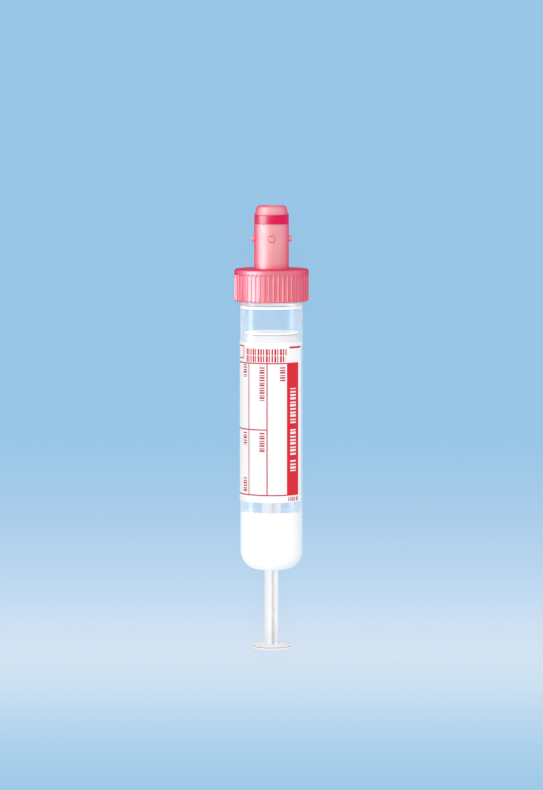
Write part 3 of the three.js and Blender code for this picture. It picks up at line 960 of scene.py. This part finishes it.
def up_stem(tree, collar, stem):
    """A value in the collar, going over to another in the stem."""
    height = unrolled(tree)[1]
    return soft_step(tree, height, collar_top + PALER_FROM, collar_top + PALER_TO, collar, stem)


def pink(tree):
    """Deep pink in the collar, paler up the stem, with a slight cloudiness. The stem's paler colour
    is partly a painted glow, for the light that its thin wall lets through.
    """
    cloud = soft_step(tree, noise(tree, 130), 0.3, 0.7)
    collar = blended(tree, cloud, linear("#dfaba9"), linear("#e3b3b0"))
    # The stem's paler colour is partly a painted glow, for the light that its thin wall lets through.
    stem = blended(tree, cloud, linear("#ebdfcc"), linear("#eee5d2"))
    return blended(tree, up_stem(tree, 0.0, 1.0), collar, stem)


pink_plastic = glossy_plastic(
    "pink_plastic", pink, lambda tree: up_stem(tree, 0.36, 0.5), Subsurface_Weight=0.7,
    Subsurface_Radius=(1.0, 0.1, 0.14), Subsurface_Scale=0.0012, Specular_IOR_Level=0.15,
    Coat_Weight=1.0, Coat_IOR=1.03, Coat_Roughness=0.3, Coat_Tint=(0.98, 0.49, 0.65, 1),
    Sheen_Weight=0.3, Sheen_Roughness=0.5, Sheen_Tint=(0.5, 0.02, 0.12, 1),
)
print("pink:", pink_plastic.name)

# %% Sizes of collar, skirt and stem
FIT_GAP = 0.3
PLUG_WALL = 0.9
PLUG_DEPTH = 4.4
PLUG_TAPER = (0.3, 0.9)
STEM_WALL = 0.95
RING_THICKNESS = 0.4
RING_GAP = 0.1
NOSE_FOOT_RADIUS = 4.05
NOSE_TOP_RADIUS = 3.5
NOSE_LIP = 1.4
NOSE_BEAD = 0.25
MOUTH_RADIUS = 2.0

cap_deck = tube_rim + FIT_GAP
cap_bore = neck_radius + THREAD_HEIGHT + THREAD_CLEARANCE
plug_radius = bore_radius - FIT_GAP
plug_foot = tube_rim - PLUG_DEPTH
stem_bore = stem_radius - STEM_WALL
groove_radius = stem_radius - RING_THICKNESS - RING_GAP
nose_foot = ring_top + RING_GAP
print(f"collar's bore {cap_bore:.2f} mm, skirt {plug_radius:.2f} mm, stem's bore {stem_bore:.2f} mm")

# %% Ribs
RIBS = 48
RIB_DEPTH = 0.18
RIB_CREST = 0.26
RIB_ROOT = 0.5
RIB_TOP_MARGIN = 1.3

rib_pitch = math.tau / RIBS
root_edge, crest_edge = (width / 2 / collar_radius / rib_pitch for width in (RIB_ROOT, RIB_CREST))
one_side = (crest_edge * 0.8, crest_edge * 1.1, (crest_edge + root_edge) / 2, root_edge, root_edge * 1.15)
across_rib = (*(-offset for offset in reversed(one_side)), *one_side, 0.5)
columns = [(rib + 0.5 + offset) * rib_pitch for rib in range(RIBS) for offset in across_rib]
rib_top = collar_top - RIB_TOP_MARGIN
print(RIBS, "ribs,", len(columns), "columns")

# %% Cap
CAP_SHARP_ANGLE = math.radians(75)  # keeps the ribs' flanks soft

cap = turned("screw_cap", rounded([
    (cap_bore, collar_foot, 0.15),
    (collar_radius, collar_foot, 0.5),
    *ladder(collar_radius, collar_foot + 0.6, rib_top - RIB_DEPTH - 0.1, 1.5),
    *ladder(collar_radius, rib_top - RIB_DEPTH, rib_top, 0.07),
    (collar_radius, collar_top, 0.55),
    (stem_radius, collar_top, 0.3),
    (stem_radius, ring_foot - RING_GAP, 0.05),
    (groove_radius, ring_foot - RING_GAP),
    (groove_radius, nose_foot),
    (stem_radius, nose_foot, 0.1),
    (stem_radius, nose_foot + NOSE_BEAD, 0.1),
    (NOSE_FOOT_RADIUS, nose_foot + NOSE_BEAD, 0.05),
    (NOSE_TOP_RADIUS, nose_top, 0.75),
    (MOUTH_RADIUS, nose_top, 0.2),
    (MOUTH_RADIUS, nose_top - NOSE_LIP, 0.1),
    (stem_bore, nose_top - NOSE_LIP, 0.1),
    (stem_bore, cap_deck, 0.2),
    (plug_radius - PLUG_WALL, cap_deck, 0.2),
    (plug_radius - PLUG_WALL, plug_foot, 0.15),
    (plug_radius - PLUG_TAPER[0], plug_foot, 0.1),
    (plug_radius, plug_foot + PLUG_TAPER[1], 0.2),
    (plug_radius, cap_deck, 0.15),
    (cap_bore, cap_deck, 0.15),
    *ladder(cap_bore, cap_deck - 0.4, collar_foot + 0.4, THREAD_RUNG * 1.6),
]), columns)
run_tree(cap, rib_tree, Count=float(RIBS), Radius=collar_radius, Depth=RIB_DEPTH, Crest=RIB_CREST,
         Root=RIB_ROOT, Top=rib_top, Material=pink_plastic)
run_tree(cap, thread_tree, Wall=cap_bore, Height=-THREAD_HEIGHT,
         Foot=thread_foot - THREAD_LEAD / THREAD_STARTS / 2, Material=pink_plastic, **thread_sizes)

# %% Lugs
LUGS = 4
LUG_RADIUS = 0.725
LUG_PROUD = 0.68
LUG_DIMPLE = 0.22
LUG_BELOW_NOSE = 8.1
LUG_COLUMNS = 32
MOAT_WIDTH = 0.13  # a shallow groove round each lug, to each side of its wall
MOAT_DEPTH = 0.25


def round_the_stem(turned_piece):
    """Copies a piece that was turned upright to each lug's place, pointing out of the stem."""
    lug_height = nose_top - LUG_BELOW_NOSE
    turned_piece.data.transform(
        Matrix.Translation((0, 0, lug_height)) @ Matrix.Rotation(math.pi / 2, 4, "Y"))
    return run_tree(turned_piece, copies_tree, Count=LUGS, Material=pink_plastic)


lug_columns = [math.tau * column / LUG_COLUMNS for column in range(LUG_COLUMNS)]
moats = turned("moats", [
    (LUG_RADIUS - MOAT_WIDTH, stem_radius - MOAT_DEPTH),
    (LUG_RADIUS + MOAT_WIDTH, stem_radius - MOAT_DEPTH),
    (LUG_RADIUS + MOAT_WIDTH, stem_radius + LUG_PROUD),
    (LUG_RADIUS - MOAT_WIDTH, stem_radius + LUG_PROUD),
], lug_columns)
combine(cap, round_the_stem(moats), "DIFFERENCE")
lug_tip = stem_radius + LUG_PROUD
lugs = turned("lugs", rounded([
    (0, stem_radius - STEM_WALL / 2),
    (LUG_RADIUS, stem_radius - STEM_WALL / 2),
    (LUG_RADIUS, lug_tip, 0.2),
    (LUG_DIMPLE, lug_tip, 0.05),
    (LUG_DIMPLE, lug_tip - LUG_DIMPLE, 0.05),
    (0, lug_tip - LUG_DIMPLE),
]), lug_columns)
combine(cap, round_the_stem(lugs), "UNION")
hand_over(cap, "screw_cap", "cap", pink_plastic, sharp=CAP_SHARP_ANGLE)

# %% [markdown]
# ## Code ring and membrane
#
# The crimson ring tells at a glance what is in the tube, and lies flush in a groove round the
# stem. The rubber membrane behind the nose is what the needle pierces.

# %% Code ring
crimson_plastic = glossy_plastic(
    "crimson_plastic", "#de1254", 0.4, Subsurface_Weight=0.25,
    Subsurface_Radius=(1.0, 0.2, 0.3), Subsurface_Scale=0.0004, Specular_IOR_Level=0.09,
)
code_ring = turned("code_ring", rounded([
    (stem_radius - RING_THICKNESS, ring_foot),
    (stem_radius, ring_foot, 0.05),
    (stem_radius, ring_top, 0.05),
    (stem_radius - RING_THICKNESS, ring_top),
]))
hand_over(code_ring, "code_ring", "cap", crimson_plastic)
keep_for(cap_shine, cap)
keep_for(ring_shine, code_ring)

# %% Membrane
DISH_RADIUS = 1.5
DISH_FLOOR_RADIUS = 0.6
DISH_DEPTH = 0.5


def rubber(tree):
    """Natural rubber, with darker specks."""
    specks = soft_step(tree, noise(tree, 2600), 0.6, 0.75)
    return blended(tree, specks, linear("#c9a48c"), linear("#a98468"))


natural_rubber = glossy_plastic("natural_rubber", rubber, 0.75, 2500, 0.00001)
membrane = turned("membrane", rounded([
    (0, septum_foot + DISH_DEPTH),
    (DISH_FLOOR_RADIUS, septum_foot + DISH_DEPTH, 0.3),
    (DISH_RADIUS, septum_foot, 0.3),
    (septum_radius, septum_foot, 0.2),
    (septum_radius, septum_top, 0.2),
    (DISH_RADIUS, septum_top, 0.3),
    (DISH_FLOOR_RADIUS, septum_top - DISH_DEPTH, 0.3),
    (0, septum_top - DISH_DEPTH),
]))
hand_over(membrane, "septum", "cap_carrier", natural_rubber)

# %% [markdown]
# ## Piston and seal
#
# The white seal wipes the barrel with its lip, and its hub sits in a groove in the piston. The
# piston is a shell with a socket in the middle, open below. Both are turned, with small
# rounded edges that catch a line of light.

# %% White plastics
def glow_through(reach):
    """Sockets for white plastic that light enters, and how far it reaches, in metres."""
    return {
        "Subsurface_Weight": 0.9, "Subsurface_Radius": (1.0, 0.95, 0.9), "Subsurface_Scale": reach,
    }


white_seal = glossy_plastic(
    "white_seal", "#fcfcfc", 0.6, 700, 0.000006, Specular_IOR_Level=0.05, **glow_through(0.003))
white_plastic = glossy_plastic("white_plastic", "#f5f5f5", 0.36, **glow_through(0.0012))
print("white:", white_seal.name, white_plastic.name)

# %% Seal
SEAL_LIP = 0.45
LIP_GAP = 0.03  # the lip wipes the bore
LIP_BEVEL = (0.3, 0.15)  # in, and up, from the lip's lower edge
LIP_WIDTH = 0.9
DISHED = (0.2, 0.15)  # how wide and how deep the face steps down inside the lip
HUB_INSET = 1.55
HUB_WALL = 1.0
HUB_DEPTH = 1.9

seal_foot = seal_top - SEAL_LIP
seal_edge = bore_radius - LIP_GAP
hub_outer = piston_radius - HUB_INSET
hub_inner = hub_outer - HUB_WALL
seal = turned("seal", rounded([
    (0, seal_foot),
    (hub_inner, seal_foot),
    (hub_inner, seal_foot - HUB_DEPTH, 0.1),
    (hub_outer, seal_foot - HUB_DEPTH, 0.1),
    (hub_outer, seal_foot),
    (seal_edge - LIP_BEVEL[0], seal_foot, 0.05),
    (seal_edge, seal_foot + LIP_BEVEL[1], 0.06),
    (seal_edge, seal_top, 0.15),
    (seal_edge - LIP_WIDTH, seal_top, 0.1),
    (seal_edge - LIP_WIDTH - DISHED[0], seal_top - DISHED[1], 0.1),
    (0, seal_top - DISHED[1]),
]))
hand_over(seal, "piston_seal", "plunger", white_seal)
keep_for(seal_light, seal)

# %% Piston
SHELL_GAP = 0.15  # between piston and bore
SEAL_SEAM = 0.12  # visible between seal and piston
PISTON_WALL = 0.9
PISTON_CROWN = 1.4
SOCKET_LIP = 0.8
SOCKET_WALL = 1.1
ROD_HEAD_RADIUS = 1.95
ROD_HEAD_LENGTH = 1.5
ROD_STUD_RADIUS = 1.45

shell_radius = bore_radius - SHELL_GAP
groove_floor = seal_foot - HUB_DEPTH - FIT_GAP
cavity_top = groove_floor - PISTON_CROWN
socket_radius = ROD_HEAD_RADIUS + FIT_GAP
socket_mouth = ROD_STUD_RADIUS + FIT_GAP
socket_top = piston_foot + SOCKET_LIP + ROD_HEAD_LENGTH + 2 * FIT_GAP
boss_radius = socket_radius + SOCKET_WALL
crown_top = seal_foot - SEAL_SEAM
piston = turned("piston", rounded([
    (0, socket_top),
    (socket_radius, socket_top, 0.1),
    (socket_radius, piston_foot + SOCKET_LIP, 0.1),
    (socket_mouth, piston_foot + SOCKET_LIP, 0.1),
    (socket_mouth, piston_foot, 0.15),
    (boss_radius, piston_foot, 0.15),
    (boss_radius, cavity_top, 0.3),
    (shell_radius - PISTON_WALL, cavity_top, 0.3),
    (shell_radius - PISTON_WALL, piston_foot, 0.1),
    (shell_radius, piston_foot, 0.3),
    (shell_radius, crown_top, 0.12),
    (hub_outer + FIT_GAP, crown_top, 0.1),
    (hub_outer + FIT_GAP, groove_floor, 0.1),
    (hub_inner - FIT_GAP, groove_floor, 0.1),
    (hub_inner - FIT_GAP, crown_top, 0.1),
    (0, crown_top),
]))
hand_over(piston, "piston", "plunger", white_plastic)

# %% [markdown]
# ## The rod
#
# Four vanes make a cross that is stiff but light. Outside the barrel they are slimmer, and near
# the piston a neck lets the rod snap off once it has been drawn. The cross is lofted through
# sections whose reach changes, and the thumb disc and the head are turned and joined on.

# %% Vanes
ROD_SHARP_ANGLE = math.radians(40)
VANE_ROUND = 0.12
VANE_FILLET = 0.25
TAIL_REACH = 1.6
TAIL_TOP = 1.65
BREAK_NECK_REACH = 0.95
BREAK_NECK_LENGTH = 0.8
DISC_THICKNESS = 1.0
FLANGE_THICKNESS = 0.7

disc_top = disc_foot + DISC_THICKNESS
flange_top = piston_foot - FIT_GAP
flange_foot = flange_top - FLANGE_THICKNESS
draw = joints["plunger_draw"]["range_m"][1] / MM
neck_low = draw - BREAK_NECK_LENGTH * 1.5  # so a drawn rod snaps off just outside the round end
neck_high = neck_low + BREAK_NECK_LENGTH
taper = (vane_reach - BREAK_NECK_REACH) / 2
widened = TAIL_TOP + vane_reach - TAIL_REACH

rod = lofted("rod", [
    (height, cross_outline(extent, VANE_THICKNESS, VANE_ROUND, VANE_FILLET)) for height, extent in (
        (disc_top - DISC_THICKNESS / 2, TAIL_REACH),
        (TAIL_TOP, TAIL_REACH),
        (widened, vane_reach),
        (neck_low - taper, vane_reach),
        (neck_low, BREAK_NECK_REACH),
        (neck_high, BREAK_NECK_REACH),
        (neck_high + taper, vane_reach),
        (flange_foot + FLANGE_THICKNESS / 2, vane_reach),
    )
])
print("break neck at", round(neck_low, 2), "mm")

# %% Thumb disc
DISC_RIM = 0.42  # height of the wider part
DISC_SEAM = 0.2  # width of the groove above it
DISC_SEAM_DEPTH = 0.9
DISC_STEP = 0.12

seam_foot = disc_foot + DISC_RIM
seam_top = seam_foot + DISC_SEAM
disc = turned("disc", rounded([
    (0, disc_foot),
    (disc_radius, disc_foot, 0.2),
    (disc_radius, seam_foot, 0.06),
    (disc_radius - DISC_SEAM_DEPTH, seam_foot),
    (disc_radius - DISC_SEAM_DEPTH, seam_top),
    (disc_radius - DISC_STEP, seam_top, 0.04),
    (disc_radius - DISC_STEP, disc_top, 0.1),
    (0, disc_top),
]))
combine(rod, disc, "UNION")

# %% Head
head_foot = piston_foot + SOCKET_LIP + FIT_GAP
head = turned("head", rounded([
    (0, flange_foot),
    (vane_reach, flange_foot, 0.1),
    (vane_reach, flange_top, 0.1),
    (ROD_STUD_RADIUS, flange_top, 0.1),
    (ROD_STUD_RADIUS, head_foot),
    (ROD_HEAD_RADIUS, head_foot, 0.1),
    (ROD_HEAD_RADIUS, head_foot + ROD_HEAD_LENGTH / 2, 0.2),
    (ROD_STUD_RADIUS, head_foot + ROD_HEAD_LENGTH, 0.2),
    (0, head_foot + ROD_HEAD_LENGTH),
]))
combine(rod, head, "UNION")
hand_over(rod, "piston_rod", "plunger", white_plastic, sharp=ROD_SHARP_ANGLE)

# %% [markdown]
# ## The label
#
# White coated paper, wrapped two thirds of the way round, printed in one red. The print is laid
# out like a form: a broad bar, ruled fields, and short strokes where the captions would
# stand. It carries no words. Each field is a rectangle on the unrolled label, in millimetres,
# and the material paints it by comparing the UV map with the rectangle's sides. The paper's back,
# which shows through the clear barrel, stays white.

# %% Rectangles and strokes
RULE = 0.3  # width of a ruled line, in millimetres
FINE = 0.62  # pitch of small print's strokes

per_degree = math.radians(label_radius)  # millimetres on the paper


def rectangle(tree, turn, height, left, right, low, high):
    """1 inside a rectangle of the unrolled label, whose sides are in degrees and millimetres."""
    width = calculate(tree, "MULTIPLY", turn, per_degree)
    sideways = stripe(tree, width, left * per_degree, right * per_degree)
    return calculate(tree, "MULTIPLY", sideways, stripe(tree, height, low, high))


def strokes(tree, turn, height, left, right, low, high, pitch=FINE, upright=False):
    """Small print without words: uneven strokes in a rectangle, one beside the other."""
    line = calculate(tree, "MULTIPLY", turn, per_degree) if upright else height
    count = calculate(tree, "DIVIDE", line, pitch)
    uneven = calculate(tree, "SINE", calculate(tree, "MULTIPLY", calculate(tree, "FLOOR", count), 2.4))
    length = calculate(tree, "MULTIPLY_ADD", uneven, 0.16, 0.56)
    inked = calculate(tree, "LESS_THAN", calculate(tree, "FRACT", count), length)
    return calculate(tree, "MULTIPLY", inked, rectangle(tree, turn, height, left, right, low, high))


def ruled(value):
    """The two sides of a line whose middle is at value, in degrees."""
    half = RULE / 2 / per_degree
    return value - half, value + half


def most(tree, masks):
    """The largest of several masks."""
    total = masks[0]
    for mask in masks[1:]:
        total = calculate(tree, "MAXIMUM", total, mask)
    return total


# %% The form: bar and ruled fields
LABEL_WRAP = 250.0
LABEL_RIGHT = 66.4  # degrees from the label's middle, as all sides of the print are
FORM_ABOVE_FOOT = 1.7
FORM_BELOW_TOP = 4.9
FORM_LEFT = 30.0  # degrees from the paper's left edge
BAR_SIDES = (28.9, 57.0)
COLUMN_RULES = (-8.0, -45.0, -86.5)
MIDDLE_RULE = 35.0

form_foot = label_foot + FORM_ABOVE_FOOT
form_top = label_top - FORM_BELOW_TOP
form_left = LABEL_RIGHT - LABEL_WRAP + FORM_LEFT

paper, tree, surface = new_material("label_paper")
turn, height = unrolled(tree)
bar = rectangle(tree, turn, height, *BAR_SIDES, form_foot, form_top)
lines = [rectangle(tree, turn, height, *ruled(column), form_foot, form_top) for column in COLUMN_RULES]
lines += [
    rectangle(tree, turn, height, form_left, BAR_SIDES[0], low, low + RULE)
    for low in (form_foot, form_top - RULE)
]
lines.append(rectangle(
    tree, turn, height, COLUMN_RULES[2], COLUMN_RULES[0], MIDDLE_RULE, MIDDLE_RULE + RULE))

# %% Small print, headings, frame and mark
CAPTIONS = (  # each one's sides, in degrees, and its foot and top
    (15.3, 25.5, 46.8, 50.9),
    (-22.2, -12.5, 42.3, 50.9),
    (-22.2, -12.5, 29.6, 34.7),
    (-61.0, -50.0, 48.0, 51.1),
    (-61.0, -50.0, 31.3, 34.4),
    (-61.0, -50.0, 19.8, 23.2),
)
CODE_SIDES = (31.0, 56.0)
CODE_ABOVE_FOOT = (0.35, 1.35)
HEADINGS = (  # each one's sides, and how far its foot is below the paper's top
    (-52.0, 29.0, 3.05),
    (-52.0, 26.0, 4.75),
)
HEADING_HEIGHT = 1.55
HEADING_PITCH = 0.7
FRAME_SIDES = (-84.0, -58.5)
FRAME_BELOW_TOP = (4.1, 0.8)
FRAME_LINE = (2.5, 0.3)  # degrees across its upright sides, and millimetres across the others
MARK_SIDES = (34.0, 64.7)
MARK_BELOW_TOP = (1.45, 0.95)
BAR_WORD_SIDES = (36.0, 49.5)
BAR_WORDS = ((36.7, 45.3), (28.7, 35.6), (24.9, 27.6))
BAR_WORD_PITCH = 0.85

words = [strokes(tree, turn, height, *caption) for caption in CAPTIONS]
code_foot, code_top = (label_foot + above for above in CODE_ABOVE_FOOT)
words.append(strokes(tree, turn, height, *CODE_SIDES, code_foot, code_top, upright=True))
headings = [
    strokes(tree, turn, height, left, right, label_top - below, label_top - below + HEADING_HEIGHT,
            pitch=HEADING_PITCH, upright=True)
    for left, right, below in HEADINGS
]
frame_foot, frame_top = (label_top - below for below in FRAME_BELOW_TOP)
frame_line = calculate(
    tree, "SUBTRACT", rectangle(tree, turn, height, *FRAME_SIDES, frame_foot, frame_top),
    rectangle(tree, turn, height, FRAME_SIDES[0] + FRAME_LINE[0], FRAME_SIDES[1] - FRAME_LINE[0],
              frame_foot + FRAME_LINE[1], frame_top - FRAME_LINE[1]))
mark_foot, mark_top = (label_top - below for below in MARK_BELOW_TOP)
mark = rectangle(tree, turn, height, *MARK_SIDES, mark_foot, mark_top)
in_bar = most(tree, [
    strokes(tree, turn, height, *BAR_WORD_SIDES, low, high, pitch=BAR_WORD_PITCH)
    for low, high in BAR_WORDS
])

# %% Paper
PAPER_LETS_IN = 0.75
PRINT_RED = "#e02236"
HEADING_RED = "#cf2240"
RULE_RED = "#c02c44"

white = blended(tree, soft_step(tree, noise(tree, 60), 0.3, 0.7), linear("#fbfbfb"), linear("#f8f8f9"))
front = add_node(tree, "ShaderNodeAttribute", attribute_name="outside").outputs["Fac"]
printed = blended(tree, most(tree, lines + words), white, linear(RULE_RED))
printed = blended(tree, most(tree, [mark, frame_line, *headings]), printed, linear(HEADING_RED))
printed = blended(tree, bar, printed, linear(PRINT_RED))
printed = blended(tree, in_bar, printed, linear("#f6eeef"))
printed = blended(tree, front, white, printed)
sheet = principled(tree, printed, 0.5, Specular_IOR_Level=0.2)
join(tree, bump(tree, noise(tree, 1500, 4.0), 0.3, 0.000006), sheet.inputs["Normal"])
join(tree, lit_through(tree, sheet.outputs[0], add_node(tree, "ShaderNodeBsdfTransparent").outputs[0],
                       PAPER_LETS_IN), surface)
print("print:", len(lines), "rules,", len(words), "captions,", len(headings), "headings")

# %% Label
LABEL_THICKNESS = 0.12
PAPER_COLUMNS = 150
LABEL_ROWS = 8

inner_radius = label_radius - LABEL_THICKNESS


def band(radius, column, height):
    """A point of the label's surface."""
    turn = math.radians(LABEL_RIGHT - LABEL_WRAP * column / PAPER_COLUMNS)
    return radius * math.sin(turn), -radius * math.cos(turn), height


rise = (label_top - label_foot) / LABEL_ROWS
points = [
    band(radius, column, label_foot + rise * row)
    for column in range(PAPER_COLUMNS + 1)
    for radius, row in (
        *((label_radius, row) for row in range(LABEL_ROWS + 1)),
        *((inner_radius, row) for row in range(LABEL_ROWS, -1, -1)),
    )
]
loop = 2 * (LABEL_ROWS + 1)
faces = [
    (column * loop + i, column * loop + (i + 1) % loop,
     (column + 1) * loop + (i + 1) % loop, (column + 1) * loop + i)
    for column in range(PAPER_COLUMNS) for i in range(loop)
]
faces += [tuple(range(loop)), tuple(range(PAPER_COLUMNS * loop, (PAPER_COLUMNS + 1) * loop))]
label = mesh_object("label_sheet", points, faces)
mark_outside(label, label_foot)
hand_over(label, "label", "barrel", paper)
